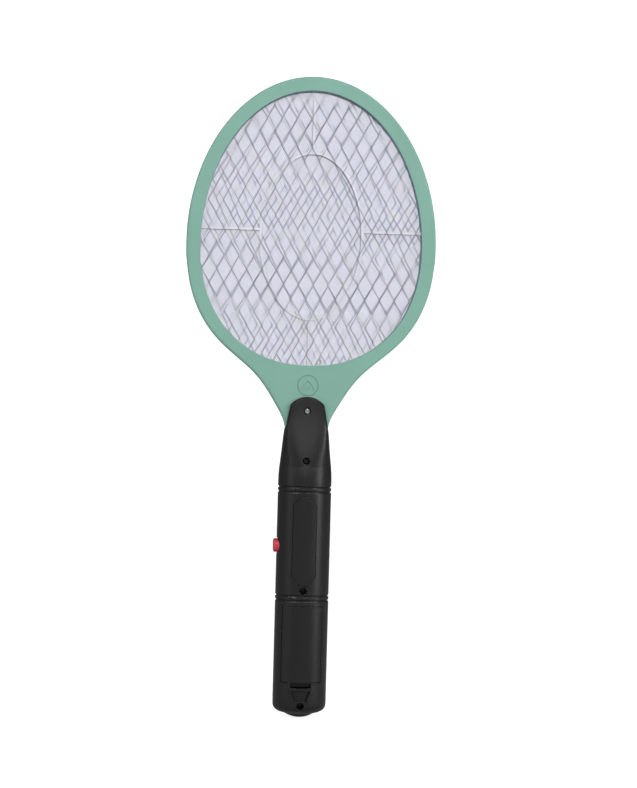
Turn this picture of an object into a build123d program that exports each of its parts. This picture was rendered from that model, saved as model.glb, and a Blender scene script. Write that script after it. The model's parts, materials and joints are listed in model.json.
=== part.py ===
from build123d import *

import math
import os

# Electric fly swatter, built up from its separate pieces.
#
# Axes: +Z runs from the end of the handle (z = 0) to the top of the head, +X goes across
# the head, -Y is the back (battery door and screws) and +Y is the front.  Millimetres.

# ---- handle ----------------------------------------------------------------------------
handle_half_width = 19.05
handle_half_depth = 16.0
wall = 2.0
split_gap = 0.04          # gap between the two handle shells
grip_start = 12.0         # the straight oval part of the handle
grip_end = 166.0
cavity_floor = 8.0
end_sections = [(2.8, 0.54), (4.0, 0.75), (5.2, 0.876), (6.5, 0.945), (8.5, 0.99), (12.0, 1.0)]
shoulder_sections = [
    (166.0, 19.05, 16.0, 2.0),
    (172.0, 18.95, 15.8, 2.0),
    (178.0, 18.5, 15.1, 2.1),
    (184.0, 17.85, 14.0, 2.3),
    (190.0, 17.2, 12.8, 2.6),
    (196.0, 16.6, 11.6, 3.0),
    (202.0, 15.9, 10.2, 3.6),
    (206.0, 15.2, 9.3, 4.0),
]
end_cap_radius = 19.2     # the domed end of the handle
end_cap_flat = 0.15       # how much of the dome is cut off to make the resting face
groove_heights = [82.3, 85.6, 159.2, 162.5]
groove_profile = [(0.0, -0.3), (0.5, 0.35), (1.1, 0.75), (1.7, 0.35), (2.2, -0.3)]
panel_half_width = 8.0
panel_bottom = 94.5
panel_top = 157.0
panel_corner = 5.5
panel_rise = 0.35
panel_line = 0.5          # fine line cut round the raised panel
panel_line_depth = 0.3

# ---- tongues over the neck -------------------------------------------------------------
tongue_inner = 6.05
tongue_outer = 8.2
tongue_base = 198.0
ridge_inset = 1.2         # the flat centre of the tongue is this much narrower than its flanks
ridge_base = 173.0
ridge_half_width = 13.3
ridge_sections = [
    (172.0, 17.5, 14.9, 2.1),
    (180.0, 17.2, 14.9, 2.4),
    (188.0, 16.8, 14.1, 3.0),
    (196.0, 16.4, 13.0, 4.0),
    (206.0, 16.0, 11.6, 5.0),
    (216.0, 16.0, 10.5, 5.5),
    (229.0, 16.0, 9.8, 5.5),
]
tongue_tip = 227.6
tongue_shoulder = 222.0
tongue_half_width = 12.0
tongue_root_half_width = 15.0

# ---- screws ----------------------------------------------------------------------------
neck_screw_z = 217.5
collar_screw_z = 182.3
case_screw_heights = [9.5, 90.5]
screw_well_radius = 2.6
screw_head_radius = 1.95
screw_head_height = 1.5
screw_shank_radius = 1.2
screw_hole_radius = 1.28
screw_boss_radius = 4.2
cross_reach = 1.1         # arms of the cross recess
cross_half = 0.25
cross_depth = 0.8
case_head_seat = -5.0     # y of the face each screw head sits on
collar_head_seat = -8.2
neck_head_seat = -7.8

# ---- battery bay -----------------------------------------------------------------------
door_half_width = 14.2
door_bottom = 25.5
door_top = 79.7
door_gap = 0.3
door_gap_bottom = 0.5
latch_half_width = 7.15
latch_bottom = 21.9
finger_top = 20.2
finger_bottom = 12.5
finger_depth = 1.8
latch_face = -10.9
latch_thickness = 0.6
latch_root = -13.6
latch_tab_half = 6.4
hook_spacing = 8.0        # the two hooks that hold the top edge of the door under the shell
hook_half_width = 1.5
hook_inner = -11.7
hook_outer = -13.05
cell_radius = 7.2
cell_length = 50.5
cell_x = 7.6
cell_y = -3.0
nub_radius = 2.7
nub_height = 1.0
plus_up_cell_start = 28.0
plus_down_cell_start = 25.6
contact_thickness = 0.4
lower_contact_z = 24.9
upper_contact_z = 79.2
bulkhead_back = -8.0
bulkhead_thickness = 2.3
contact_gap = 0.05
tab_slot_half = 1.6       # slots in the upper bulkhead for the solder tabs
tab_half_width = 1.3
tab_back = -4.3
tab_front = -3.8
battery_lead_radius = 0.6
battery_lead_path = [(7.6, -4.95, 82.0), (7.4, -4.95, 86.0), (7.0, -1.4, 92.0), (6.7, 1.2, 97.0),
                     (6.6, 1.6, 103.0)]
spring_wire = 0.35
spring_radius = 3.0

# ---- push button and switch ------------------------------------------------------------
button_z = 121.7
button_height = 9.4
button_depth = 13.6
button_corner = 4.2
button_tip = -21.4
button_back = -13.6
button_gap = 0.08
button_dish_grow = 0.9    # shallow step round the button's opening
button_dish_x = -18.3
stem_tip = -12.05
plunger_tip = -12.0
switch_front = -10.6
switch_back = -7.1
switch_half = 3.0

# ---- circuit board ---------------------------------------------------------------------
board_half_width = 11.0
board_bottom = 95.5
board_top = 158.0
board_back = 3.1          # the face that carries the components
board_front = 4.7
board_posts = [(-8.2, 99.0), (8.2, 99.0), (-8.2, 154.5), (8.2, 154.5)]
board_hole_radius = 0.98
board_peg_radius = 0.9
lamp_z = 150.0
leg_radius = 0.35         # wire legs of the larger components
thin_leg_radius = 0.28

# ---- transformer -----------------------------------------------------------------------
core_z = 142.0
core_y = -4.0
core_half = (8.0, 2.5, 7.0)
core_window = (2.2, 6.0)
core_window_half_z = 5.0
bobbin_half = (3.0, 3.3, 4.9)
bobbin_bore = (2.3, 2.6)
bobbin_flange_half = (5.9, 6.0)
bobbin_flange = 0.8
bobbin_pins = (-4.5, 0.0, 4.5)
bobbin_pin_half = 0.3
winding_half = (5.4, 5.5, 4.0)
winding_gap = 0.05

# ---- small components ------------------------------------------------------------------
capacitor_x = (0.6, 9.6)
capacitor_y = (-6.0, 2.2)
capacitor_z = (105.0, 117.0)
capacitor_legs = (108.0, 114.0)
disc_x = (3.2, 9.8)
disc_y = (-5.0, 2.2)
disc_heights = (122.0, 129.5)
disc_half_thickness = 1.6
disc_legs = (4.6, 8.4)
diode_columns = (-1.4, -4.9, -8.4)
diode_y = 1.2
diode_radius = 1.35
diode_body = (107.3, 112.5)
diode_wire = (105.0, 114.8)
transistor_x = -1.0
transistor_z = 127.0
transistor_y = (-5.0, -0.2)
transistor_radius = 2.3
transistor_flat = 0.8     # the flat side stands this far below the transistor's middle
transistor_pitch = 1.2
resistor_heights = (98.3, 101.5)
resistor_y = 1.6
resistor_radius = 0.95
resistor_half_length = 3.0
resistor_half_span = 5.0
lamp_radius = 1.5
lamp_flange_radius = 1.9
lamp_flange = (11.4, 12.3)
lamp_dome_y = 15.2
lamp_leg_x = 0.9

# ---- head ------------------------------------------------------------------------------
head_half_width = 88.75
head_middle = 336.0
head_top = 455.0
frame_depth = 6.0
frame_round = 1.6
neck_half_width = 12.5
neck_bottom = 172.5
neck_top = 206.15
flare = [(15.3, 206.15), (21.2, 220), (28.6, 232), (38.3, 244), (52.3, 256), (67.3, 270),
         (77.6, 285), (83.8, 300), (86.3, 310), (87.9, 321), (88.75, 336)]
opening_half_width = 78.7
opening_middle = 335.0
opening_top = 445.0
opening_bottom = 249.7
lower_power = 2.2         # the lower half of the opening is slightly squarer than an ellipse
pocket_grow = 4.0         # the mesh pocket reaches this far under the rim
lip_back = 4.1            # the rim lip runs from here to the outer face
stack_gap = 0.05
mesh_thickness = 0.5
mesh_grow = 3.7
mesh_band = 1.0           # solid band of the mesh, measured from the opening
terminal_x = 7.5
terminal_z = 243.0
terminal_bay = (10.5, 240.5, 247.0)
lead_radius = 0.75
lead_top = 241.3
lead_channel = 1.2
emblem_z = 235.6
emblem_radius = 7.5
emblem_line = 0.55
emblem_depth = 0.4
eyelet_z = 252.3
pin_radius = 1.2          # the pins of the rear frame and their sockets in the front frame
pin_socket_radius = 1.28
pin_inset = 3.1
pin_angles = (0, 35, 65)
lower_pins = [(61.0, 267.1), (20.0, 228.0)]

# ---- mesh pattern ----------------------------------------------------------------------
mesh_pitch_x = 10.55
mesh_pitch_z = 19.7
mesh_strand = 1.1
mesh_bond = 1.3

# ---- spacer ----------------------------------------------------------------------------
spacer_ring_width = 36.3
spacer_ring_height = 59.0
spacer_ring_middle = 342.0
spacer_spoke_z = 346.0
spacer_bar = 2.0

far = 30.0                # reach of cutting blocks, beyond the handle on every side

os.makedirs("parts", exist_ok=True)


# ---- helpers ---------------------------------------------------------------------------
def along_y(outline, y_start, y_end):
    """Solid made by pushing an XZ outline from one y to another."""
    with BuildPart() as slab:
        with BuildSketch(Plane.XZ.offset(-y_start)):
            add(outline)
        extrude(amount=y_start - y_end)
    return slab.part


def rod_y(x, z, radius, y_start, y_end):
    """Round bar along Y."""
    with BuildSketch() as disc:
        with Locations((x, z)):
            Circle(radius)
    return along_y(disc.sketch, y_start, y_end)


def block(x_range, y_range, z_range):
    """Rectangular block between the given limits."""
    with BuildPart() as box:
        with Locations((sum(x_range) / 2, sum(y_range) / 2, sum(z_range) / 2)):
            Box(x_range[1] - x_range[0], y_range[1] - y_range[0], z_range[1] - z_range[0])
    return box.part


def rod_x(y, z, radius, x_start, x_end):
    """Round bar along X."""
    with BuildPart() as rod:
        with BuildSketch(Plane.YZ.offset(x_start)):
            with Locations((y, z)):
                Circle(radius)
        extrude(amount=x_end - x_start)
    return rod.part


def rod_z(x, y, radius, z_start, z_end):
    """Round bar along Z."""
    with BuildPart() as rod:
        with BuildSketch(Plane.XY.offset(z_start)):
            with Locations((x, y)):
                Circle(radius)
        extrude(amount=z_end - z_start)
    return rod.part


def oval(half_x, half_y, power):
    """Superellipse face: power 2 is an ellipse, higher powers are squarer."""
    points = []
    for step in range(16):
        angle = math.pi * step / 8
        c = math.cos(angle)
        s = math.sin(angle)
        x = half_x * math.copysign(abs(c) ** (2 / power), c)
        y = half_y * math.copysign(abs(s) ** (2 / power), s)
        points.append((x, y))
    with BuildSketch() as face:
        with BuildLine():
            Spline(*points, periodic=True)
        make_face()
    return face.sketch


def taper(sections, inset):
    """Smooth solid through oval sections (z, half width, half depth, power), shrunk by inset."""
    with BuildPart() as solid:
        for z, half_x, half_y, power in sections:
            with BuildSketch(Plane.XY.offset(z)):
                add(oval(half_x - inset, half_y - inset, power))
        loft()
    return solid.part


def handle_body(inset):
    """Outer shape of the handle shrunk by inset all round."""
    with BuildPart() as body:
        for z, scale in end_sections:
            with BuildSketch(Plane.XY.offset(z)):
                add(oval((handle_half_width - inset) * scale, (handle_half_depth - inset) * scale, 2.0))
        loft()
        with BuildSketch(Plane.XY.offset(grip_start)):
            add(oval(handle_half_width - inset, handle_half_depth - inset, 2.0))
        extrude(amount=grip_end - grip_start)
        add(taper(shoulder_sections, inset))
    return body.part


def head_oval(grow):
    """Outline of the mesh opening grown outwards by grow all round."""
    half_width = opening_half_width + grow
    lower_reach = opening_middle - opening_bottom + grow
    steps = 20
    lower = []
    for step in range(steps + 1):
        angle = math.pi * step / steps
        c = math.cos(angle)
        x = half_width * math.copysign(abs(c) ** (2 / lower_power), c)
        z = opening_middle - lower_reach * abs(math.sin(angle)) ** (2 / lower_power)
        lower.append((x, z))
    with BuildSketch() as face:
        with BuildLine():
            EllipticalCenterArc((0, opening_middle), half_width, opening_top - opening_middle + grow, 0,
                                 arc_size=180)
            Spline(*lower, tangents=[(0, -1), (0, 1)])
        make_face()
    return face.sketch


def wire(points, radius):
    """Insulated wire following a smooth path."""
    with BuildPart() as lead:
        with BuildLine():
            path = Spline(*points)
        with BuildSketch(Plane(origin=path @ 0, z_dir=path % 0)):
            Circle(radius)
        sweep()
    return lead.part


def coil(x, y, z_start, z_end, turns):
    """Round wire spring standing along Z."""
    height = z_end - z_start
    with BuildPart() as spring:
        with BuildLine():
            path = Helix(pitch=height / turns, height=height, radius=spring_radius)
        with BuildSketch(Plane(origin=path @ 0, z_dir=path % 0)):
            Circle(spring_wire)
        sweep(is_frenet=True)
    return Pos(x, y, z_start) * spring.part


def save(builder, name):
    """Label a finished piece and write it to its own file."""
    builder.part.label = name
    export_step(builder.part, "parts/" + name + ".step")


# ---- shapes shared by the two handle shells --------------------------------------------
outer_body = handle_body(0)
inner_body = handle_body(wall)

with BuildPart() as cavity:
    add(inner_body)
    add(block((-far, far), (-far, far), (0, cavity_floor)), mode=Mode.SUBTRACT)
    add(block((-neck_half_width - 0.1, neck_half_width + 0.1), (-tongue_inner, tongue_inner),
              (neck_bottom - 0.1, neck_top + 1)))



def groove_core(groove_z):
    """Waisted plug of the handle that stays standing inside a ring groove."""
    with BuildPart() as plug:
        for rise, depth in groove_profile:
            with BuildSketch(Plane.XY.offset(groove_z + rise)):
                add(oval(handle_half_width - depth, handle_half_depth - depth, 2.0))
        loft()
    return plug.part


with BuildPart() as grooves:
    for groove_z in groove_heights:
        with BuildSketch(Plane.XY.offset(groove_z)):
            add(oval(handle_half_width + 1, handle_half_depth + 1, 2.0))
        extrude(amount=groove_profile[-1][0])
        add(groove_core(groove_z), mode=Mode.SUBTRACT)

with BuildSketch() as panel_face:
    with Locations((0, (panel_bottom + panel_top) / 2)):
        Rectangle(2 * panel_half_width, panel_top - panel_bottom)
    chamfer(panel_face.vertices(), panel_corner)

with BuildSketch() as panel_ring:
    offset(panel_face.sketch, amount=panel_line, kind=Kind.INTERSECTION)
    add(panel_face.sketch, mode=Mode.SUBTRACT)

with BuildPart() as panels:
    add(along_y(panel_face.sketch, -far, far))
    add(handle_body(-panel_rise), mode=Mode.INTERSECT)

with BuildPart() as panel_grooves:
    add(along_y(panel_ring.sketch, -far, far))
    add(handle_body(panel_line_depth), mode=Mode.SUBTRACT)


def button_outline(grow):
    """Rounded outline of the push button seen from the side."""
    with BuildSketch() as face:
        with Locations((0, button_z)):
            RectangleRounded(button_depth + 2 * grow, button_height + 2 * grow,
                             button_corner + min(grow, 1))
    return face.sketch


def button_block(grow, x_start, x_end):
    """Solid with the button's outline between two x positions."""
    with BuildPart() as solid:
        with BuildSketch(Plane.YZ.offset(x_start)):
            add(button_outline(grow))
        extrude(amount=x_end - x_start)
    return solid.part


button_hole = button_block(button_gap, -far, button_back)
button_dish = button_block(button_dish_grow, -far, button_dish_x)


def tongue_outline(inset, base, base_half_width):
    """Outline of a tongue plate, drawn in by inset, down to a given base."""
    half = tongue_half_width - inset
    root = tongue_root_half_width - inset
    with BuildSketch() as outline:
        with BuildLine():
            Line((-root, neck_top), (-half, tongue_shoulder - inset))
            ThreePointArc((-half, tongue_shoulder - inset), (0, tongue_tip - inset),
                          (half, tongue_shoulder - inset))
            Line((half, tongue_shoulder - inset), (root, neck_top))
            Polyline((root, neck_top), (base_half_width, base),
                     (-base_half_width, base), (-root, neck_top))
        make_face()
        tips = outline.vertices().filter_by_position(Axis.Y, tongue_shoulder - 3, tongue_shoulder + 1)
        fillet(tips, 2.5)
    return outline.sketch


def tongue(side):
    """Plate of a handle shell that laps over the neck of the head, with its raised flat ridge."""
    ridge = tongue_outline(ridge_inset, ridge_base, ridge_half_width)
    flanks = tongue_outline(0, tongue_base, tongue_root_half_width)
    with BuildPart() as plate:
        add(along_y(ridge, side * tongue_inner, side * far))
        add(taper(ridge_sections, 0), mode=Mode.INTERSECT)
        add(along_y(flanks, side * tongue_inner, side * tongue_outer))
    return plate.part


with BuildPart() as end_cap:
    with Locations((0, 0, end_cap_radius - end_cap_flat)):
        Sphere(end_cap_radius)
    scale(by=(1, handle_half_depth / handle_half_width, 1))
    add(block((-far, far), (-far, far), (0, grip_start / 2)), mode=Mode.INTERSECT)


def half_shell(side):
    """Half of the handle body with its cavity, tongue, grooves and button opening."""
    with BuildPart() as shell:
        add(outer_body)
        add(end_cap.part)
        add(panels.part)
        add(tongue(side))
        add(cavity.part, mode=Mode.SUBTRACT)
        add(grooves.part, mode=Mode.SUBTRACT)
        add(panel_grooves.part, mode=Mode.SUBTRACT)
        away = sorted((side * split_gap / 2, -side * 2 * far))
        add(block((-far, far), away, (-1, tongue_tip + 1)), mode=Mode.SUBTRACT)
    return shell.part


def boss(z, y_start, y_end):
    """Screw pillar joined to the inside of the shell wall."""
    with BuildPart() as pillar:
        add(rod_y(0, z, screw_boss_radius, y_start, y_end))
        add(handle_body(wall / 2), mode=Mode.INTERSECT)
    return pillar.part


# ---- rear handle shell -----------------------------------------------------------------
with BuildSketch() as finger_outline:
    with BuildLine():
        Polyline((-4.3, finger_bottom), (4.3, finger_bottom), (7.2, finger_top), (-7.2, finger_top),
                 close=True)
    make_face()

with BuildPart() as finger_recess:
    add(along_y(finger_outline.sketch, -far, -5))
    add(handle_body(finger_depth), mode=Mode.SUBTRACT)

door_window = block((-door_half_width, door_half_width), (-far, -5), (door_bottom, door_top))
latch_slot = block((-latch_half_width, latch_half_width), (-far, -9), (latch_bottom, door_bottom + 1))

with BuildPart() as rear_handle_shell:
    add(half_shell(-1))
    for screw_z in case_screw_heights:
        add(boss(screw_z, -split_gap / 2, -far))
    add(boss(collar_screw_z, -tongue_inner, -far))
    for screw_z in case_screw_heights:
        add(rod_y(0, screw_z, screw_well_radius, case_head_seat, -far), mode=Mode.SUBTRACT)
        add(rod_y(0, screw_z, screw_hole_radius, 0, -far), mode=Mode.SUBTRACT)
    add(rod_y(0, collar_screw_z, screw_well_radius, collar_head_seat, -far), mode=Mode.SUBTRACT)
    add(rod_y(0, collar_screw_z, screw_hole_radius, 0, -far), mode=Mode.SUBTRACT)
    add(rod_y(0, neck_screw_z, screw_well_radius, neck_head_seat, -far), mode=Mode.SUBTRACT)
    add(rod_y(0, neck_screw_z, screw_hole_radius, 0, -far), mode=Mode.SUBTRACT)
    add(door_window, mode=Mode.SUBTRACT)
    add(latch_slot, mode=Mode.SUBTRACT)
    add(finger_recess.part, mode=Mode.SUBTRACT)
    add(button_hole, mode=Mode.SUBTRACT)
    add(button_dish, mode=Mode.SUBTRACT)
save(rear_handle_shell, "rear_handle_shell")

# ---- front handle shell, with the battery bulkheads and the board posts ----------------
lower_wall = (lower_contact_z - bulkhead_thickness, lower_contact_z - contact_gap)
upper_wall_base = upper_contact_z + contact_thickness
upper_wall = (upper_wall_base + contact_gap, upper_wall_base + bulkhead_thickness)

with BuildPart() as bulkheads:
    for z_range in (lower_wall, upper_wall):
        add(block((-far, far), (bulkhead_back, far), z_range))
    add(handle_body(wall + 0.25), mode=Mode.INTERSECT)
    for tab_x in (-cell_x, cell_x):
        add(block((tab_x - tab_slot_half, tab_x + tab_slot_half), (bulkhead_back - 1, tab_back + 0.9),
                  (upper_contact_z, upper_contact_z + 4)), mode=Mode.SUBTRACT)

with BuildPart() as front_ribs:
    for z_range in (lower_wall, upper_wall):
        add(block((-far, far), (1.0, far), z_range))
    for post_x, post_z in board_posts:
        add(rod_y(post_x, post_z, 2.0, board_front + 0.05, far))
    add(handle_body(wall / 2), mode=Mode.INTERSECT)

with BuildPart() as front_handle_shell:
    add(half_shell(1))
    for screw_z in case_screw_heights:
        add(boss(screw_z, split_gap / 2, far))
    add(boss(collar_screw_z, tongue_inner, far))
    add(bulkheads.part)
    add(front_ribs.part)
    for post_x, post_z in board_posts:
        add(rod_y(post_x, post_z, board_peg_radius, board_back - 0.8, board_front + 1))
    for screw_z in case_screw_heights:
        add(rod_y(0, screw_z, screw_hole_radius, 0, 9.5), mode=Mode.SUBTRACT)
    add(rod_y(0, collar_screw_z, screw_hole_radius, 0, 10.5), mode=Mode.SUBTRACT)
    add(rod_y(0, neck_screw_z, screw_hole_radius, 0, 8.5), mode=Mode.SUBTRACT)
    add(rod_y(0, lamp_z, 1.6, board_front, far), mode=Mode.SUBTRACT)
    add(button_hole, mode=Mode.SUBTRACT)
    add(button_dish, mode=Mode.SUBTRACT)
save(front_handle_shell, "front_handle_shell")

# ---- battery door: a piece of the handle wall with a latch tab and two hook tabs -------
latch_y = (latch_face, latch_face + latch_thickness)

with BuildPart() as battery_door:
    add(outer_body)
    add(inner_body, mode=Mode.SUBTRACT)
    add(block((-door_half_width + door_gap, door_half_width - door_gap), (-far, -5),
              (door_bottom + door_gap_bottom, door_top - door_gap)), mode=Mode.INTERSECT)
    add(block((-latch_tab_half, latch_tab_half), latch_y, (latch_bottom + 0.5, door_bottom + 4)))
    add(block((-latch_tab_half, latch_tab_half), (latch_root, latch_y[1]),
              (door_bottom + 2, door_bottom + 4)))
    for hook_x in (-hook_spacing / 2, hook_spacing / 2):
        hook_width = (hook_x - hook_half_width, hook_x + hook_half_width)
        add(block(hook_width, (-14.4, hook_inner), (door_top - 2.6, door_top - door_gap)))
        add(block(hook_width, (hook_outer, hook_inner), (door_top - 2.6, door_top + 2.2)))
save(battery_door, "battery_door")

# ---- push button -----------------------------------------------------------------------
with BuildPart() as button_flange:
    add(button_block(1.7, -far, button_back))
    add(handle_body(wall + 0.15), mode=Mode.INTERSECT)
    add(block((button_tip, button_back), (-far, far), (0, 200)), mode=Mode.INTERSECT)

with BuildPart() as push_button:
    add(button_block(0, button_tip, button_back))
    fillet(push_button.faces().sort_by(Axis.X)[0].edges(), 1.1)
    add(button_flange.part)
    add(rod_x(0, button_z, 1.6, button_back - 0.5, stem_tip))
save(push_button, "push_button")

# ---- switch on the circuit board -------------------------------------------------------
switch_z = (button_z - switch_half, button_z + switch_half)

with BuildPart() as switch_body:
    add(block((switch_front, switch_back), (-switch_half, switch_half), switch_z))
    add(rod_x(0, button_z, 1.75, switch_front - 1, switch_front + 1), mode=Mode.SUBTRACT)
    add(rod_x(0, button_z, 2.3, switch_front + 0.4, switch_back - 0.8), mode=Mode.SUBTRACT)
save(switch_body, "switch_body")

with BuildPart() as switch_plunger:
    add(rod_x(0, button_z, 1.68, plunger_tip, switch_front + 0.6))
    add(rod_x(0, button_z, 2.2, switch_front + 0.45, switch_front + 1.0))
save(switch_plunger, "switch_plunger")

# ---- circuit board ---------------------------------------------------------------------
with BuildPart() as circuit_board:
    add(block((-board_half_width, board_half_width), (board_back, board_front),
              (board_bottom, board_top)))
    for post_x, post_z in board_posts:
        add(rod_y(post_x, post_z, board_hole_radius, board_back - 1, board_front + 1),
            mode=Mode.SUBTRACT)
save(circuit_board, "circuit_board")

on_board = board_back - 0.02


# ---- transformer: ferrite core, bobbin and copper winding ------------------------------
def around_core(half_x, half_y, half_z):
    """Block centred on the middle of the transformer core."""
    return block((-half_x, half_x), (core_y - half_y, core_y + half_y),
                 (core_z - half_z, core_z + half_z))


with BuildPart() as transformer_core:
    add(around_core(*core_half))
    for window_x in (core_window, (-core_window[1], -core_window[0])):
        add(block(window_x, (core_y - far, core_y + far),
                  (core_z - core_window_half_z, core_z + core_window_half_z)), mode=Mode.SUBTRACT)
save(transformer_core, "transformer_core")

flange_x, flange_y = bobbin_flange_half
bobbin_end = bobbin_half[2]

with BuildPart() as transformer_bobbin:
    add(around_core(*bobbin_half))
    for flange_z in (core_z - bobbin_end, core_z + bobbin_end - bobbin_flange):
        add(block((-flange_x, flange_x), (core_y - flange_y, core_y + flange_y),
                  (flange_z, flange_z + bobbin_flange)))
        for pin_x in bobbin_pins:
            add(block((pin_x - bobbin_pin_half, pin_x + bobbin_pin_half),
                      (core_y + flange_y - 0.5, on_board),
                      (flange_z + 0.1, flange_z + bobbin_flange - 0.1)))
    add(around_core(*bobbin_bore, far), mode=Mode.SUBTRACT)
save(transformer_bobbin, "transformer_bobbin")

with BuildPart() as transformer_winding:
    add(around_core(*winding_half))
    fillet(transformer_winding.edges().filter_by(Axis.Z), 2.0)
    add(around_core(bobbin_half[0] + winding_gap, bobbin_half[1] + winding_gap, far), mode=Mode.SUBTRACT)
save(transformer_winding, "transformer_winding")

# ---- capacitors, diodes, transistor, resistors and lamp --------------------------------
with BuildPart() as hv_capacitor:
    add(block(capacitor_x, capacitor_y, capacitor_z))
    fillet(hv_capacitor.edges(), 1.2)
    for leg_z in capacitor_legs:
        add(rod_y(sum(capacitor_x) / 2, leg_z, leg_radius, capacitor_y[1] - 0.7, on_board))
save(hv_capacitor, "hv_capacitor")

with BuildPart() as multiplier_capacitors:
    for disc_z in disc_heights:
        add(block(disc_x, disc_y, (disc_z - disc_half_thickness, disc_z + disc_half_thickness)))
        for leg_x in disc_legs:
            add(rod_y(leg_x, disc_z, leg_radius, disc_y[1] - 0.7, on_board))
    upright = multiplier_capacitors.edges().filter_by(Axis.Z)
    fillet(upright.filter_by_position(Axis.Y, disc_y[0] - 0.1, disc_y[0] + 0.1), 1.4)
save(multiplier_capacitors, "multiplier_capacitors")

with BuildPart() as rectifier_diodes:
    for diode_x in diode_columns:
        add(rod_z(diode_x, diode_y, diode_radius, *diode_body))
        add(rod_z(diode_x, diode_y, leg_radius, *diode_wire))
        for leg_z in (diode_wire[0] + 0.4, diode_wire[1] - 0.4):
            add(rod_y(diode_x, leg_z, leg_radius - 0.05, diode_y - 0.1, on_board))
save(rectifier_diodes, "rectifier_diodes")

with BuildSketch() as transistor_outline:
    with Locations((transistor_x, transistor_z)):
        Circle(transistor_radius)
    with Locations((transistor_x, transistor_z - transistor_radius - transistor_flat)):
        Rectangle(3 * transistor_radius, 2 * transistor_radius, mode=Mode.SUBTRACT)

with BuildPart() as power_transistor:
    add(along_y(transistor_outline.sketch, *transistor_y))
    for place in (-1, 0, 1):
        add(rod_y(transistor_x + place * transistor_pitch, transistor_z + 0.2, thin_leg_radius,
                  transistor_y[1] - 0.8, on_board))
save(power_transistor, "power_transistor")

with BuildPart() as resistors:
    for resistor_z in resistor_heights:
        add(rod_x(resistor_y, resistor_z, resistor_radius, -resistor_half_length, resistor_half_length))
        add(rod_x(resistor_y, resistor_z, thin_leg_radius, -resistor_half_span, resistor_half_span))
        for leg_x in (0.2 - resistor_half_span, resistor_half_span - 0.2):
            add(rod_y(leg_x, resistor_z, thin_leg_radius, resistor_y - thin_leg_radius, on_board))
save(resistors, "resistors")

with BuildPart() as indicator_lamp:
    add(rod_y(0, lamp_z, lamp_radius, lamp_flange[1] - 0.1, lamp_dome_y))
    with Locations((0, lamp_dome_y, lamp_z)):
        Sphere(lamp_radius)
    add(rod_y(0, lamp_z, lamp_flange_radius, *lamp_flange))
    for leg_x in (-lamp_leg_x, lamp_leg_x):
        add(rod_y(leg_x, lamp_z, thin_leg_radius, board_front + 0.02, lamp_flange[0] + 0.2))
save(indicator_lamp, "indicator_lamp")

# ---- battery contacts, cells and leads -------------------------------------------------
plate_y = (bulkhead_back + 0.2, 3.0)
plate_reach = 13.2

with BuildPart() as bridge_contact:
    add(block((-plate_reach, plate_reach), plate_y,
              (lower_contact_z, lower_contact_z + contact_thickness)))
    add(coil(-cell_x, cell_y, lower_contact_z + 0.3, plus_up_cell_start - 0.45, 2.0))
save(bridge_contact, "bridge_contact")


def tabbed_plate(x_range):
    """Contact plate with a solder tab that reaches up through the bulkhead."""
    middle = sum(x_range) / 2
    with BuildPart() as plate:
        add(block(x_range, plate_y, (upper_contact_z, upper_contact_z + contact_thickness)))
        add(block((middle - tab_half_width, middle + tab_half_width), (tab_back, tab_front),
                  (upper_contact_z, upper_contact_z + 5)))
    return plate.part


with BuildPart() as positive_contact:
    add(tabbed_plate((-plate_reach, plate_reach - 2 * cell_x)))
    add(rod_z(-cell_x, cell_y, 2.0, plus_up_cell_start + cell_length + 0.02,
              upper_contact_z + contact_thickness / 2))
save(positive_contact, "positive_contact")

with BuildPart() as negative_contact:
    add(tabbed_plate((2 * cell_x - plate_reach, plate_reach)))
    add(coil(cell_x, cell_y, plus_down_cell_start + cell_length + 0.45, upper_contact_z + 0.1, 2.0))
save(negative_contact, "negative_contact")


def cell(x, z_start, plus_up):
    """AA cell standing along Z with its raised plus contact at one end."""
    can_start = z_start if plus_up else z_start + nub_height
    nub_start = z_start + cell_length - nub_height - 0.5 if plus_up else z_start
    with BuildPart() as can:
        add(rod_z(x, cell_y, cell_radius, can_start, can_start + cell_length - nub_height))
        fillet(can.edges().filter_by(GeomType.CIRCLE), 0.6)
        add(rod_z(x, cell_y, nub_radius, nub_start, nub_start + nub_height + 0.5))
    return can.part


with BuildPart() as battery_cells:
    add(cell(-cell_x, plus_up_cell_start, True))
    add(cell(cell_x, plus_down_cell_start, False))
save(battery_cells, "battery_cells")


def battery_lead(side):
    """Lead from a contact's solder tab to the circuit board."""
    return wire([(side * x, y, z) for x, y, z in battery_lead_path], battery_lead_radius)


with BuildPart() as battery_lead_red:
    add(battery_lead(-1))
save(battery_lead_red, "battery_lead_red")

with BuildPart() as battery_lead_black:
    add(battery_lead(1))
save(battery_lead_black, "battery_lead_black")


def head_lead(side):
    """Lead from the circuit board up the neck to a mesh terminal."""
    path = [(9.6, 2.0, 146.0), (9.3, 1.2, 158.0), (terminal_x, 0, 169.0), (terminal_x, 0, 177.0),
            (terminal_x, 0, 205.0), (terminal_x, 0, lead_top)]
    return wire([(side * x, y, z) for x, y, z in path], lead_radius)


with BuildPart() as mesh_lead:
    add(head_lead(1))
save(mesh_lead, "mesh_lead")

with BuildPart() as hv_lead:
    add(head_lead(-1))
save(hv_lead, "hv_lead")


# ---- screws ----------------------------------------------------------------------------
def screw(z, seat, tip):
    """Pan-head screw along Y with a cross recess."""
    top = seat - screw_head_height - 0.02
    with BuildPart() as body:
        add(rod_y(0, z, screw_head_radius, seat - 0.02, top))
        fillet(body.faces().sort_by(Axis.Y)[0].edges(), 0.6)
        add(rod_y(0, z, screw_shank_radius, seat - 0.5, tip))
        chamfer(body.faces().sort_by(Axis.Y)[-1].edges(), 0.5)
        for half_x, half_z in ((cross_reach, cross_half), (cross_half, cross_reach)):
            add(block((-half_x, half_x), (top - 1, top + cross_depth), (z - half_z, z + half_z)),
                mode=Mode.SUBTRACT)
    return body.part


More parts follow.
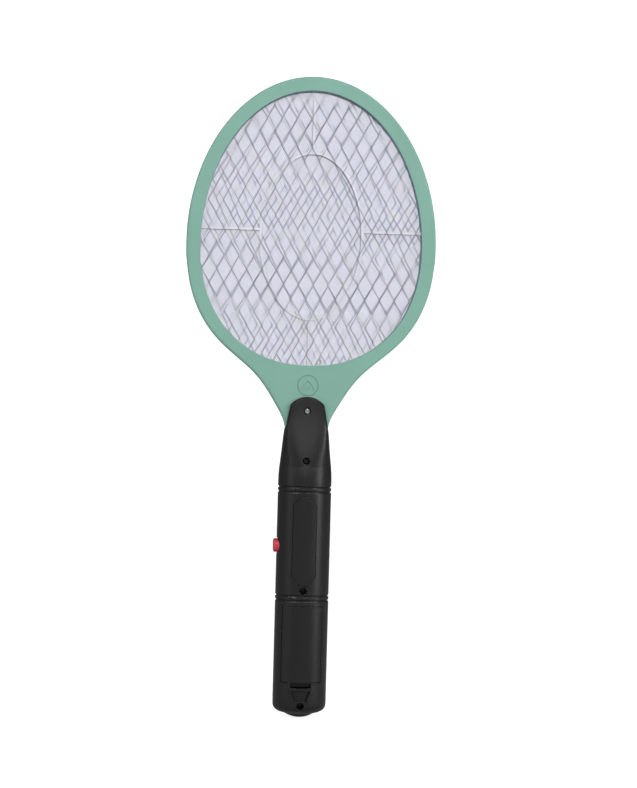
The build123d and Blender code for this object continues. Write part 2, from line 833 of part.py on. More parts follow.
with BuildPart() as neck_screw:
    add(screw(neck_screw_z, neck_head_seat, 8.2))
save(neck_screw, "neck_screw")

with BuildPart() as collar_screw:
    add(screw(collar_screw_z, collar_head_seat, 10.0))
save(collar_screw, "collar_screw")

with BuildPart() as case_screws:
    for screw_z in case_screw_heights:
        add(screw(screw_z, case_head_seat, 9.0))
save(case_screws, "case_screws")


# ---- frames of the head ----------------------------------------------------------------
with BuildSketch() as frame_outline:
    with BuildLine():
        Polyline((0, neck_bottom), (neck_half_width, neck_bottom), (neck_half_width, neck_top), flare[0])
        Spline(*flare, tangents=[(0.15, 1), (0, 1)])
        EllipticalCenterArc((0, head_middle), head_half_width, head_top - head_middle, 0, arc_size=90)
        mirror(about=Plane.YZ)
    make_face()

pin_half_width = head_half_width - pin_inset
pin_height = head_top - head_middle - pin_inset
pin_spots = [(0, head_middle + pin_height)]
for pin_angle in pin_angles:
    pin_x = pin_half_width * math.cos(math.radians(pin_angle))
    pin_z = head_middle + pin_height * math.sin(math.radians(pin_angle))
    pin_spots += [(pin_x, pin_z), (-pin_x, pin_z)]
for pin_x, pin_z in lower_pins:
    pin_spots += [(pin_x, pin_z), (-pin_x, pin_z)]


def frame_half(side):
    """One moulded half of the head frame, neck included."""
    with BuildPart() as frame:
        add(along_y(frame_outline.sketch, 0.02 * side, frame_depth * side))
        outer_face = frame.faces().sort_by(Axis.Y)[-1 if side > 0 else 0]
        fillet(outer_face.edges().filter_by_position(Axis.Z, neck_top + 1, head_top + 1), frame_round)
        add(along_y(head_oval(0), -far, far), mode=Mode.SUBTRACT)
        add(along_y(head_oval(pocket_grow), -lip_back, lip_back), mode=Mode.SUBTRACT)
        bay_half, bay_bottom, bay_top = terminal_bay
        add(block((-bay_half, bay_half), (-lip_back, lip_back), (bay_bottom, bay_top)),
            mode=Mode.SUBTRACT)
        for lead_x in (-terminal_x, terminal_x):
            add(rod_z(lead_x, 0, lead_channel, neck_bottom - 1, bay_bottom + 1), mode=Mode.SUBTRACT)
        for screw_z in (collar_screw_z, neck_screw_z):
            add(rod_y(0, screw_z, screw_hole_radius, -far, far), mode=Mode.SUBTRACT)
    return frame.part


with BuildSketch() as emblem:
    with Locations((0, emblem_z)):
        Circle(emblem_radius)
        Circle(emblem_radius - emblem_line, mode=Mode.SUBTRACT)
        Ellipse(1.2, 3.4)
    for wing in (-1, 1):
        with Locations((wing * 2.3, emblem_z - 0.6)):
            Ellipse(1.0, 3.6, rotation=wing * 32)

with BuildPart() as rear_frame:
    add(frame_half(-1))
    add(along_y(emblem.sketch, emblem_depth - frame_depth, -far), mode=Mode.SUBTRACT)
    for pin_x, pin_z in pin_spots:
        add(rod_y(pin_x, pin_z, pin_radius, -2.0, 2.4))
save(rear_frame, "rear_frame")

with BuildPart() as front_frame:
    add(frame_half(1))
    for pin_x, pin_z in pin_spots:
        add(rod_y(pin_x, pin_z, pin_socket_radius, -1.0, 2.6), mode=Mode.SUBTRACT)
save(front_frame, "front_frame")


# ---- spacers between the meshes --------------------------------------------------------
with BuildSketch() as spacer_rim:
    add(head_oval(mesh_grow - 0.1))
    add(head_oval(0.4), mode=Mode.SUBTRACT)

with BuildSketch() as spacer_face:
    with Locations((0, head_middle)):
        Rectangle(spacer_bar, head_top - opening_bottom)
    with Locations((0, spacer_spoke_z)):
        Rectangle(2 * head_half_width, spacer_bar)
    with Locations((0, spacer_ring_middle)):
        Ellipse(spacer_ring_width + spacer_bar / 2, spacer_ring_height + spacer_bar / 2)
        Ellipse(spacer_ring_width - spacer_bar / 2, spacer_ring_height - spacer_bar / 2,
                mode=Mode.SUBTRACT)
    add(head_oval(1.0), mode=Mode.INTERSECT)
    add(spacer_rim.sketch)

spacer_inner = mesh_thickness / 2 + stack_gap
spacer_outer = lip_back - stack_gap * 2 - mesh_thickness

with BuildPart() as rear_spacer:
    add(along_y(spacer_face.sketch, -spacer_inner, -spacer_outer))
save(rear_spacer, "rear_spacer")

with BuildPart() as front_spacer:
    add(along_y(spacer_face.sketch, spacer_inner, spacer_outer))
save(front_spacer, "front_spacer")


# ---- meshes ----------------------------------------------------------------------------
def lattice(shift_x, shift_z, tab_side):
    """Expanded-metal sheet: diamond holes inside a solid band, with a terminal tab at the bottom."""
    half_x = mesh_pitch_x / 2 - mesh_strand * 0.6
    half_z = mesh_pitch_z / 2 - mesh_bond
    spots = []
    for row in range(-12, 13):
        for column in range(-9, 10):
            x = column * mesh_pitch_x + (row % 2) * mesh_pitch_x / 2 + shift_x
            z = head_middle + row * mesh_pitch_z / 2 + shift_z
            reach = math.hypot(x / (opening_half_width + 4), (z - 347) / 104)
            if reach < 1.0:
                spots.append((x, z))
    with BuildSketch() as holes:
        with Locations(*spots):
            Polygon((0, half_z), (-half_x, 0), (0, -half_z), (half_x, 0), align=None)
        add(head_oval(mesh_band), mode=Mode.INTERSECT)
    with BuildSketch() as sheet:
        add(head_oval(mesh_grow))
        with Locations((tab_side * terminal_x, 245.0)):
            Rectangle(4.0, 7.0)
        add(holes.sketch, mode=Mode.SUBTRACT)
    return sheet.sketch


outer_sheet = lattice(1.4, -2.2, 1)
centre_sheet = lattice(-1.2, 3.1, -1)
mesh_outer_face = lip_back - stack_gap

with BuildPart() as rear_mesh:
    add(along_y(outer_sheet, -mesh_outer_face, mesh_thickness - mesh_outer_face))
save(rear_mesh, "rear_mesh")

with BuildPart() as front_mesh:
    add(along_y(outer_sheet, mesh_outer_face, mesh_outer_face - mesh_thickness))
save(front_mesh, "front_mesh")

with BuildPart() as centre_mesh:
    add(along_y(centre_sheet, -mesh_thickness / 2, mesh_thickness / 2))
save(centre_mesh, "centre_mesh")

with BuildPart() as mesh_eyelet:
    add(rod_y(terminal_x, eyelet_z, 1.9, -mesh_outer_face - 0.03, -mesh_outer_face - 0.6))
    add(rod_y(terminal_x, eyelet_z, 1.0, -far, far), mode=Mode.SUBTRACT)
save(mesh_eyelet, "mesh_eyelet")

mesh_inner_face = mesh_outer_face - mesh_thickness - 0.03
with BuildPart() as mesh_jumper:
    add(rod_y(terminal_x, terminal_z + 0.1, 0.8, -mesh_inner_face, mesh_inner_face))
save(mesh_jumper, "mesh_jumper")
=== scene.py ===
"""Looks of the electric fly swatter: materials, expanded-metal meshes, stage, light and camera."""

import itertools
import json
import math

import bmesh
import bpy
from mathutils import Matrix, Vector


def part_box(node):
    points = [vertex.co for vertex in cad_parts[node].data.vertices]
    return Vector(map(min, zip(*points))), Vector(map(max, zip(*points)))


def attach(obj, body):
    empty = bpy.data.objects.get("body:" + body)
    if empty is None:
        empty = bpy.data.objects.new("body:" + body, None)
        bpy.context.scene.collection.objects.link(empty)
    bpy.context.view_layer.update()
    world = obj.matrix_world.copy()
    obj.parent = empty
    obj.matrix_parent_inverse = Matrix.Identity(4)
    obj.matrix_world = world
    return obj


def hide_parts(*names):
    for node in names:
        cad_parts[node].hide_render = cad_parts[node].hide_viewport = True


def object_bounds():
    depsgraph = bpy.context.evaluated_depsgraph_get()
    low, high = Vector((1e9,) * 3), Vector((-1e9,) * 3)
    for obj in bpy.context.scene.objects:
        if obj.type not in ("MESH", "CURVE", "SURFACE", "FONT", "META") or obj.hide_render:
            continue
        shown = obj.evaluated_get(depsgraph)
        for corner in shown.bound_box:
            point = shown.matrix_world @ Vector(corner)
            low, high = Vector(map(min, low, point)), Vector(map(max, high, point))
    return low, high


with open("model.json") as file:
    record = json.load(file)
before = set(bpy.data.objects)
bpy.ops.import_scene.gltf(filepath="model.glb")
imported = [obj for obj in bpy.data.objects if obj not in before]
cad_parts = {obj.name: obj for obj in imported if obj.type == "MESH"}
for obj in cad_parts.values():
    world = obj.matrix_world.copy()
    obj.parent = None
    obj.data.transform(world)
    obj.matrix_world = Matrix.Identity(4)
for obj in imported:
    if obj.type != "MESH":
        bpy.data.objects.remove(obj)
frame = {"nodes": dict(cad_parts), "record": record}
cad_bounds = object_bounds()
nodes = frame["nodes"]

MM = 0.001

# The sheets' outline: share of its height below the widest line, and the squareness of that lower part.
WIDEST_SHARE = 0.439
LOWER_POWER = 2.2

# A lattice is laid over this many times the outline's height, so that it covers it from any offset, and a
# strand that crosses the outline is cut where this many halvings find the crossing.
LATTICE_SPREAD = 1.3
EDGE_HALVINGS = 10

# Expanded metal: strand width, sheet thickness, length and width of the bonds, tilt of the strands in
# degrees, and how far a strand's end lies inside the bond, as a share of the strand and of the bond.
STRAND_WIDTH = 0.42 * MM
SHEET_THICKNESS = 0.36 * MM
BOND_LENGTH = 2.0 * MM
BOND_WIDTH = STRAND_WIDTH * 1.7
STRAND_TILT = 6.0
END_SHARE = 0.4

# Each outer sheet as (pitch across, pitch up, skew, one node's place from the outline's middle).  The
# two sheets are cut with the same tool and face opposite ways, so their skews are opposite.
REAR_PATTERN = (10.53 * MM, 19.63 * MM, -0.034, (0.6 * MM, 11.2 * MM))
FRONT_PATTERN = (10.69 * MM, 20.03 * MM, 0.068, (-0.9 * MM, 2.9 * MM))

# The centre grid as (pitch across, pitch up, wires in a pitch, thin wire, thick wire), the turn of the
# square wires in degrees, and the steps along a wire in the search for its ends.
CENTRE_GRID = (4.5 * MM, 7.2 * MM, 3, 0.27 * MM, 0.34 * MM)
WIRE_TURN = 45.0
WIRE_STEPS = 64

# Terminal tab of a sheet.
TAB_HALF_WIDTH = 2 * MM
TAB_HEIGHT = 7 * MM

# Softboxes as (name, place, width, height, watts), in metres, turned to the middle of the swatter.
SOFTBOXES = (
    ("key_right", (1.25, -0.80, 0.35), 0.35, 1.3, 9.0),
    ("fill_left", (-1.25, -0.80, 0.35), 0.5, 1.3, 2.5),
    ("upper_right", (1.5, -2.0, 1.9), 1.0, 1.0, 27.0),
    ("upper_left", (-1.5, -2.0, 1.9), 1.0, 1.0, 27.0),
    ("upper_front", (0.0, -2.4, 1.25), 0.8, 0.8, 8.0),
)

# Small lamps above that pick out the grooves and edges of the dark handle: place to each side, size, watts.
EDGE_LAMP_PLACE = (0.55, -0.28, 1.75)
EDGE_LAMP_SIZE = 0.3
EDGE_LAMP_WATTS = 24.0

WORLD_COLOUR = (0.96, 0.97, 1.0, 1.0)
WORLD_STRENGTH = 0.24

# Stage: floor and backdrop sizes, the floor's drop below the swatter and the backdrop's distance.
FLOOR_SIZE = 8.0
FLOOR_DROP = 0.5 * MM
BACKDROP_SIZE = 12.0
BACKDROP_DISTANCE = 2.2

# Camera: distance, turn about the swatter, roll, the point looked at and the height seen there.
CAMERA_DISTANCE = 1.5
CAMERA_AZIMUTH = math.radians(-3.5)
CAMERA_ROLL = math.radians(1.53)
AIM = Vector((8.1 * MM, 0, 229.9 * MM))
VIEW_HEIGHT = 561.3 * MM
SENSOR_HEIGHT = 36.0


# ---- material helpers ------------------------------------------------------------------
# Places of the colour sockets on a Mix node, whose names are shared with its other sockets.
MIX_COLOUR_A = 6
MIX_COLOUR_B = 7
MIX_COLOUR_RESULT = 2


class Shader:
    """A node material with a Principled surface and small helpers to feed it."""

    def __init__(self, name):
        self.material = bpy.data.materials.new(name)
        self.material.use_nodes = True
        self.tree = self.material.node_tree
        self.surface = self.tree.nodes["Principled BSDF"]
        self.place = self.node("ShaderNodeTexCoord").outputs["Object"]

    def node(self, kind, **inputs):
        made = self.tree.nodes.new(kind)
        for key, value in inputs.items():
            self.feed(made.inputs[key.replace("_", " ")], value)
        return made

    def feed(self, socket, value):
        if isinstance(value, bpy.types.NodeSocket):
            self.tree.links.new(value, socket)
        else:
            socket.default_value = value

    def set(self, key, value):
        self.feed(self.surface.inputs[key], value)

    def noise(self, scale, detail=3.0, place=None):
        made = self.node("ShaderNodeTexNoise", Scale=scale, Detail=detail)
        self.feed(made.inputs["Vector"], place or self.place)
        return made.outputs["Fac"]

    def ramp(self, factor, stops, step=False):
        made = self.node("ShaderNodeValToRGB", Fac=factor)
        ramp = made.color_ramp
        if step:
            ramp.interpolation = "CONSTANT"
        while len(ramp.elements) < len(stops):
            ramp.elements.new(0.5)
        for element, (position, colour) in zip(ramp.elements, stops):
            element.position = position
            element.color = (*colour, 1.0)
        return made.outputs["Color"]

    def span(self, factor, low, high):
        made = self.node("ShaderNodeMapRange", Value=factor)
        made.inputs["To Min"].default_value = low
        made.inputs["To Max"].default_value = high
        return made.outputs["Result"]

    def stretched(self, scale):
        made = self.node("ShaderNodeMapping", Vector=self.place)
        made.inputs["Scale"].default_value = scale
        return made.outputs["Vector"]

    def axis(self, letter):
        return self.node("ShaderNodeSeparateXYZ", Vector=self.place).outputs[letter]

    def relief(self, height, depth, edge=0.0):
        """Bump of the given depth, over edges softened by the given radius."""
        bump = self.node("ShaderNodeBump", Height=height, Distance=depth, Strength=1.0)
        if edge:
            bevel = self.node("ShaderNodeBevel", Radius=edge)
            bevel.samples = 4
            self.feed(bump.inputs["Normal"], bevel.outputs["Normal"])
        self.set("Normal", bump.outputs["Normal"])


def shade(colour, factor):
    """A colour made lighter or darker."""
    return tuple(min(1.0, channel * factor) for channel in colour)


def moulded(name, colour, roughness, grain=2600.0, depth=0.012 * MM, specular=0.5, edge=0.25 * MM):
    """Injection-moulded plastic: fine spark-eroded grain, faint flow and handling variation."""
    shader = Shader(name)
    tone = shader.noise(22.0, 4.0)
    shader.set("Base Color", shader.ramp(tone, [(0.3, shade(colour, 0.94)), (0.7, shade(colour, 1.05))]))
    wear = shader.noise(160.0, 5.0)
    shader.set("Roughness", shader.span(wear, roughness - 0.05, roughness + 0.07))
    shader.set("Specular IOR Level", specular)
    shader.relief(shader.noise(grain, 2.0), depth, edge)
    return shader.material


def metal(name, colour, roughness, stretch=(400.0, 400.0, 400.0), edge=0.1 * MM, metallic=1.0):
    """Bare or plated metal with fine drawing marks and dull patches."""
    shader = Shader(name)
    marks = shader.noise(1.0, 4.0, shader.stretched(stretch))
    shader.set("Base Color", shader.ramp(marks, [(0.3, shade(colour, 0.82)), (0.7, shade(colour, 1.1))]))
    shader.set("Metallic", metallic)
    shader.set("Roughness", shader.span(shader.noise(90.0), roughness - 0.06, roughness + 0.12))
    shader.relief(marks, 0.006 * MM, edge)
    return shader.material


def cell_sleeve(name):
    """Plain two-tone sleeve of the cells, with bare ends."""
    shader = Shader(name)
    low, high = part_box("battery_cells")
    height = shader.node("ShaderNodeMapRange", Value=shader.axis("Z"))
    height.inputs["From Min"].default_value = low.z
    height.inputs["From Max"].default_value = high.z
    bands = [(0.0, (0.55, 0.54, 0.52)), (0.055, (0.035, 0.06, 0.13)), (0.66, (0.5, 0.49, 0.46)),
             (0.68, (0.06, 0.10, 0.20)), (0.945, (0.55, 0.54, 0.52))]
    shader.set("Base Color", shader.ramp(height.outputs["Result"], bands, step=True))
    shader.set("Roughness", shader.span(shader.noise(120.0), 0.22, 0.36))
    shader.set("Coat Weight", 0.4)
    shader.relief(shader.noise(700.0), 0.01 * MM, 0.3 * MM)
    return shader.material


def circuit_laminate(name):
    """Tan phenolic board with fibre mottling and darker track shadows."""
    shader = Shader(name)
    fibres = shader.noise(1.0, 6.0, shader.stretched((900.0, 900.0, 260.0)))
    tracks = shader.node("ShaderNodeTexBrick", Vector=shader.place, Scale=170.0)
    tracks.inputs["Color1"].default_value = (1, 1, 1, 1)
    tracks.inputs["Color2"].default_value = (0.86, 0.86, 0.86, 1)
    tracks.inputs["Mortar"].default_value = (0.62, 0.62, 0.62, 1)
    mix = shader.node("ShaderNodeMix")
    mix.data_type = "RGBA"
    mix.blend_type = "MULTIPLY"
    mix.inputs["Factor"].default_value = 0.8
    laminate = shader.ramp(fibres, [(0.3, (0.33, 0.21, 0.08)), (0.7, (0.50, 0.35, 0.16))])
    shader.feed(mix.inputs[MIX_COLOUR_A], laminate)
    shader.feed(mix.inputs[MIX_COLOUR_B], tracks.outputs["Color"])
    shader.set("Base Color", mix.outputs[MIX_COLOUR_RESULT])
    shader.set("Roughness", 0.45)
    shader.relief(fibres, 0.02 * MM, 0.1 * MM)
    return shader.material


def wound_copper(name):
    """Close turns of enamelled wire wound round the vertical axis."""
    shader = Shader(name)
    turns = shader.node("ShaderNodeTexWave", Vector=shader.place, Scale=650.0, Distortion=0.6)
    turns.bands_direction = "Z"
    shades = [(0.1, (0.20, 0.06, 0.02)), (0.8, (0.62, 0.27, 0.10))]
    shader.set("Base Color", shader.ramp(turns.outputs["Fac"], shades))
    shader.set("Metallic", 0.7)
    shader.set("Roughness", 0.32)
    shader.relief(turns.outputs["Fac"], 0.06 * MM)
    return shader.material


def banded_resistor(name):
    """Tan lacquer with coloured rings along X."""
    shader = Shader(name)
    low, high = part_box("resistors")
    along = shader.node("ShaderNodeMapRange", Value=shader.axis("X"))
    along.inputs["From Min"].default_value = low.x
    along.inputs["From Max"].default_value = high.x
    tan, lead = (0.50, 0.38, 0.22), (0.55, 0.54, 0.52)
    bands = [(0.0, lead), (0.2, tan), (0.3, (0.35, 0.03, 0.02)), (0.36, tan), (0.44, (0.02, 0.02, 0.02)),
             (0.5, tan), (0.58, (0.4, 0.16, 0.02)), (0.64, tan), (0.8, lead)]
    shader.set("Base Color", shader.ramp(along.outputs["Result"], bands, step=True))
    shader.set("Roughness", shader.span(shader.noise(200.0), 0.3, 0.42))
    shader.relief(shader.noise(900.0), 0.01 * MM)
    return shader.material


def lamp_resin(name):
    """Tinted, slightly milky lamp resin."""
    shader = Shader(name)
    shades = [(0.3, (0.55, 0.03, 0.02)), (0.7, (0.75, 0.08, 0.05))]
    shader.set("Base Color", shader.ramp(shader.noise(300.0), shades))
    shader.set("Transmission Weight", 0.7)
    shader.set("Roughness", 0.12)
    shader.set("IOR", 1.5)
    shader.relief(shader.noise(800.0), 0.004 * MM)
    return shader.material


MATERIALS = {
    "green_plastic": moulded("green_plastic", (0.200, 0.392, 0.318), 0.50, grain=2200.0, depth=0.010 * MM,
                             specular=0.35),
    "black_plastic": moulded("black_plastic", (0.0062, 0.0062, 0.0064), 0.35, specular=0.36),
    "red_plastic": moulded("red_plastic", (0.60, 0.050, 0.080), 0.34, depth=0.006 * MM, edge=0.4 * MM),
    "white_plastic": moulded("white_plastic", (0.70, 0.70, 0.77), 0.42, grain=2000.0, depth=0.008 * MM),
    # mesh_metal and grid_metal are grey metal with painted shade in their colour: the strands' bluish tint
    # and the grid's lavender tone stand in for the shaded lavender paper seen through the mesh.
    "mesh_metal": metal("mesh_metal", (0.16, 0.16, 0.20), 0.5, metallic=0.3),
    "grid_metal": metal("grid_metal", (0.40, 0.43, 0.66), 0.5, metallic=0.3),
    "steel": metal("steel", (0.62, 0.61, 0.60), 0.24),
    "black_steel": metal("black_steel", (0.06, 0.06, 0.065), 0.38),
    "nickel": metal("nickel", (0.72, 0.70, 0.66), 0.2, stretch=(200.0, 1200.0, 200.0)),
    "cell_wrap": cell_sleeve("cell_wrap"),
    "board": circuit_laminate("board"),
    "ferrite": moulded("ferrite", (0.045, 0.045, 0.05), 0.6, grain=900.0, depth=0.03 * MM),
    "bobbin": moulded("bobbin", (0.03, 0.03, 0.032), 0.4),
    "copper": wound_copper("copper"),
    "film_cap": moulded("film_cap", (0.30, 0.05, 0.03), 0.25, grain=700.0, depth=0.02 * MM),
    "epoxy_black": moulded("epoxy_black", (0.02, 0.02, 0.021), 0.5, grain=1800.0, depth=0.015 * MM),
    "resistor": banded_resistor("resistor"),
    "red_lead": moulded("red_lead", (0.45, 0.02, 0.02), 0.35, grain=900.0, depth=0.01 * MM),
    "black_lead": moulded("black_lead", (0.015, 0.015, 0.015), 0.35, grain=900.0, depth=0.01 * MM),
    "white_lead": moulded("white_lead", (0.72, 0.71, 0.68), 0.35, grain=900.0, depth=0.01 * MM),
    "lamp": lamp_resin("lamp"),
}

for part in frame["record"]["subparts"]:
    data = nodes[part["node"]].data
    data.materials.clear()
    data.materials.append(MATERIALS[part["material_slot"]])


# ---- expanded-metal sheets -------------------------------------------------------------
class SheetOutline:
    """The oval that the sheets fill, taken from the spacer that lies against them."""

    def __init__(self, node):
        low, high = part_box(node)
        self.half_width = (high.x - low.x) / 2
        self.middle = low.z + (high.z - low.z) * WIDEST_SHARE
        self.up = high.z - self.middle
        self.down = self.middle - low.z

    def reach(self):
        """Distance from the middle that a lattice covers."""
        return LATTICE_SPREAD * (self.up + self.down)

    def holds(self, x, z):
        across = abs(x) / self.half_width
        if z > self.middle:
            return across ** 2 + ((z - self.middle) / self.up) ** 2 < 1
        return across ** LOWER_POWER + ((self.middle - z) / self.down) ** LOWER_POWER < 1

    def clip(self, start, end):
        """The stretch of a segment that lies inside the outline, or None."""
        inside_start = self.holds(*start)
        inside_end = self.holds(*end)
        if not inside_start and not inside_end:
            return None
        if inside_start and inside_end:
            return start, end
        kept, lost = (start, end) if inside_start else (end, start)
        for _ in range(EDGE_HALVINGS):
            half = ((kept[0] + lost[0]) / 2, (kept[1] + lost[1]) / 2)
            if self.holds(*half):
                kept = half
            else:
                lost = half
        return (start, kept) if inside_start else (kept, end)


def add_strip(mesh, start, end, y, width, thickness, tilts):
    """Adds a metal strip between two XZ points, its section turned by each tilt in turn."""
    along = Vector((end[0] - start[0], 0, end[1] - start[1]))
    if along.length < width:
        return
    forward = along.normalized()
    across = forward.cross(Vector((0, 1, 0)))
    rings = []
    for index, tilt in enumerate(tilts):
        centre = Vector((start[0], y, start[1])) + along * index / (len(tilts) - 1)
        turn = Matrix.Rotation(math.radians(tilt), 3, forward)
        ring = []
        for side, face in ((-1, -1), (1, -1), (1, 1), (-1, 1)):
            corner = across * side * width / 2 + Vector((0, face * thickness / 2, 0))
            ring.append(mesh.verts.new(centre + turn @ corner))
        rings.append(ring)
    for first, second in zip(rings, rings[1:]):
        for k in range(4):
            mesh.faces.new((first[k], first[(k + 1) % 4], second[(k + 1) % 4], second[k]))
    mesh.faces.new(rings[0][::-1])
    mesh.faces.new(rings[-1])


def add_plate(mesh, low, high):
    """Adds a rectangular tab."""
    corners = itertools.product((low.z, high.z), (low.y, high.y), (low.x, high.x))
    spots = [mesh.verts.new((x, y, z)) for z, y, x in corners]
    for face in ((0, 2, 3, 1), (4, 5, 7, 6), (0, 1, 5, 4), (2, 6, 7, 3), (0, 4, 6, 2), (1, 3, 7, 5)):
        mesh.faces.new([spots[k] for k in face])


def expanded_sheet(name, node, pattern, tab_x):
    """Builds the sheet that stands for a CAD mesh node: bonds joined by slanted, twisted strands."""
    pitch_x, pitch_z, skew, (node_x, node_z) = pattern
    outline = SheetOutline("rear_spacer")
    low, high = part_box(node)
    y = (low.y + high.y) / 2
    inset_x = STRAND_WIDTH * END_SHARE
    inset_z = BOND_LENGTH * END_SHARE
    mesh = bmesh.new()

    def spot(x, z):
        return node_x + x + skew * z, outline.middle + node_z + z

    rows = 2 * math.ceil(outline.reach() / pitch_z)
    columns = math.ceil(outline.reach() / pitch_x)
    for row in range(-rows, rows + 1):
        for column in range(-columns, columns + 1):
            x = (column + row % 2 / 2) * pitch_x
            z = row * pitch_z / 2
            stem = outline.clip(spot(x, z - BOND_LENGTH / 2), spot(x, z + BOND_LENGTH / 2))
            if stem:
                add_strip(mesh, *stem, y, BOND_WIDTH, SHEET_THICKNESS, (0, 0))
            for side in (-1, 1):
                start = spot(x + side * inset_x, z + inset_z)
                end = spot(x + side * (pitch_x / 2 - inset_x), z + pitch_z / 2 - inset_z)
                piece = outline.clip(start, end)
                if piece:
                    tilt = STRAND_TILT * side
                    add_strip(mesh, *piece, y, STRAND_WIDTH, SHEET_THICKNESS, (0, tilt, tilt, 0))
    add_tab(mesh, tab_x, low, high)
    finish_sheet(mesh, name, node, "mesh_metal")


def add_tab(mesh, tab_x, low, high):
    """Terminal tab at the bottom of a sheet."""
    left_bottom = Vector((tab_x - TAB_HALF_WIDTH, low.y, low.z))
    right_top = Vector((tab_x + TAB_HALF_WIDTH, high.y, low.z + TAB_HEIGHT))
    add_plate(mesh, left_bottom, right_top)


def finish_sheet(mesh, name, node, material):
    """Turns a bmesh into the piece that stands for a CAD mesh node."""
    bmesh.ops.recalc_face_normals(mesh, faces=mesh.faces)
    data = bpy.data.meshes.new(name)
    mesh.to_mesh(data)
    mesh.free()
    sheet = bpy.data.objects.new(name, data)
    bpy.context.scene.collection.objects.link(sheet)
    data.materials.append(MATERIALS[material])
    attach(sheet, "body")
    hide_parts(node)


def wire_grid(name, node, pattern, tab_x):
    """Fine grid of two crossing sets of slanted wires, every third one thicker."""
    pitch_x, pitch_z, per_pitch, thin, thick = pattern
    outline = SheetOutline("rear_spacer")
    low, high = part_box(node)
    middle = (low.y + high.y) / 2
    mesh = bmesh.new()
    spacing = pitch_x / per_pitch
    reach = outline.half_width + (outline.up + outline.down) * pitch_x / pitch_z
    count = int(reach / spacing)
    for lean in (-1, 1):
        for index in range(-count, count + 1):
            width = thick if index % per_pitch == 0 else thin
            spots = []
            for step in range(WIRE_STEPS + 1):
                z = outline.middle - outline.down + (outline.up + outline.down) * step / WIRE_STEPS
                x = index * spacing + lean * (z - outline.middle) * pitch_x / pitch_z
                spots.append((x, z))
            inside = [k for k, spot in enumerate(spots) if outline.holds(*spot)]
            if len(inside) < 2:
                continue
            first, last = inside[0], inside[-1]
            start = outline.clip(spots[max(first - 1, 0)], spots[first])[0]
            end = outline.clip(spots[last], spots[min(last + 1, WIRE_STEPS)])[1]
            add_strip(mesh, start, end, middle + lean * thin / 3, width, thin, (WIRE_TURN, WIRE_TURN))
    add_tab(mesh, tab_x, low, high)
    finish_sheet(mesh, name, node, "grid_metal")


tab = (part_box("mesh_jumper")[0].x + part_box("mesh_jumper")[1].x) / 2
expanded_sheet("rear_expanded_sheet", "rear_mesh", REAR_PATTERN, tab)
expanded_sheet("front_expanded_sheet", "front_mesh", FRONT_PATTERN, tab)
wire_grid("centre_wire_grid", "centre_mesh", CENTRE_GRID, -tab)


# ---- stage, light and camera -----------------------------------------------------------
def plane(name, size, place, turn=(0, 0, 0)):
    """Square sheet of the stage."""
    bpy.ops.mesh.primitive_plane_add(size=size, location=place, rotation=turn)
    made = bpy.context.object
    made.name = name
    return made


def paper(name, base, glow, bounce):
    """White paper: its grey as a surface, its glow to the camera and the light that it sends out."""
    shader = Shader(name)
    shader.set("Base Color", (base, base, base, 1))
    shader.set("Roughness", 0.9)
    shader.set("Emission Color", (1, 1, 1, 1))
    seen = shader.node("ShaderNodeLightPath").outputs["Is Camera Ray"]
    shader.set("Emission Strength", shader.span(seen, bounce, glow))
    return shader.material


low, high = cad_bounds
middle = Vector([(a + b) / 2 for a, b in zip(low, high)])
low_middle = Vector((middle.x, middle.y, (low[2] + middle.z) / 2))

floor = plane("floor", FLOOR_SIZE, (0, 0, low[2] - FLOOR_DROP))
floor.data.materials.append(paper("floor_paper", base=0.5, glow=0.88, bounce=0.1))
backdrop = plane("backdrop", BACKDROP_SIZE, (0, BACKDROP_DISTANCE, 0), (math.radians(90), 0, 0))
backdrop.data.materials.append(paper("backdrop_paper", base=0.3, glow=1.0, bounce=0.0))


def softbox(name, place, target, width, height, watts):
    """Rectangular lamp turned to the target."""
    data = bpy.data.lights.new(name, "AREA")
    data.shape = "RECTANGLE"
    data.size = width
    data.size_y = height
    data.energy = watts
    light = bpy.data.objects.new(name, data)
    light.location = place
    light.rotation_euler = (Vector(target) - Vector(place)).to_track_quat("-Z", "Y").to_euler()
    bpy.context.scene.collection.objects.link(light)
    return light


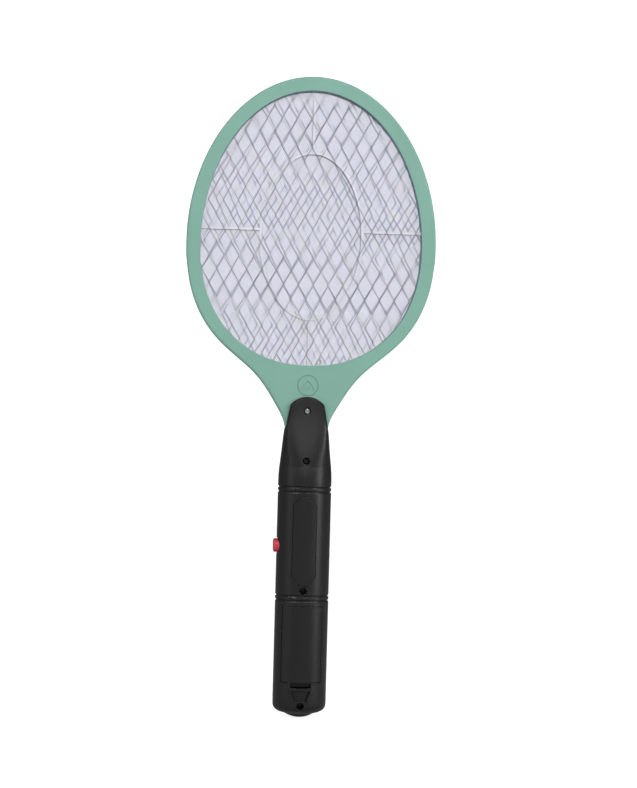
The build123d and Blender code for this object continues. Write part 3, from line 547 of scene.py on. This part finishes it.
for name, place, width, height, watts in SOFTBOXES:
    softbox(name, place, middle, width, height, watts)

# The edge lamps light the dark parts only.
dark_parts = bpy.data.collections.new("dark_parts")
for part in frame["record"]["subparts"]:
    if part["material_slot"] == "black_plastic":
        dark_parts.objects.link(nodes[part["node"]])
for name, side in (("edge_lamp_left", -1), ("edge_lamp_right", 1)):
    lamp_x, lamp_y, lamp_z = EDGE_LAMP_PLACE
    place = (side * lamp_x, lamp_y, lamp_z)
    lamp = softbox(name, place, low_middle, EDGE_LAMP_SIZE, EDGE_LAMP_SIZE, EDGE_LAMP_WATTS)
    lamp.light_linking.receiver_collection = dark_parts

world = bpy.data.worlds.new("studio")
world.use_nodes = True
surroundings = world.node_tree.nodes["Background"]
surroundings.inputs["Color"].default_value = WORLD_COLOUR
# White where the camera sees past the stage, dim as a source of light.
camera_ray = world.node_tree.nodes.new("ShaderNodeLightPath").outputs["Is Camera Ray"]
strength = world.node_tree.nodes.new("ShaderNodeMapRange")
strength.inputs["To Min"].default_value = WORLD_STRENGTH
strength.inputs["To Max"].default_value = 1.0
world.node_tree.links.new(camera_ray, strength.inputs["Value"])
world.node_tree.links.new(strength.outputs["Result"], surroundings.inputs["Strength"])
bpy.context.scene.world = world

camera_data = bpy.data.cameras.new("camera")
camera_data.sensor_fit = "VERTICAL"
camera_data.sensor_height = SENSOR_HEIGHT
camera_data.lens = SENSOR_HEIGHT * CAMERA_DISTANCE / VIEW_HEIGHT
camera = bpy.data.objects.new("camera", camera_data)
bpy.context.scene.collection.objects.link(camera)
back = Vector((math.sin(CAMERA_AZIMUTH), -math.cos(CAMERA_AZIMUTH), 0))
level_right = back.cross(Vector((0, 0, 1))) * -1
up = Vector((0, 0, 1)) * math.cos(CAMERA_ROLL) - level_right * math.sin(CAMERA_ROLL)
right = up.cross(back)
turn = Matrix((right, up, back)).transposed().to_4x4()
camera.matrix_world = Matrix.Translation(AIM + back * CAMERA_DISTANCE) @ turn
bpy.context.scene.camera = camera
bpy.context.scene.view_settings.view_transform = "Standard"
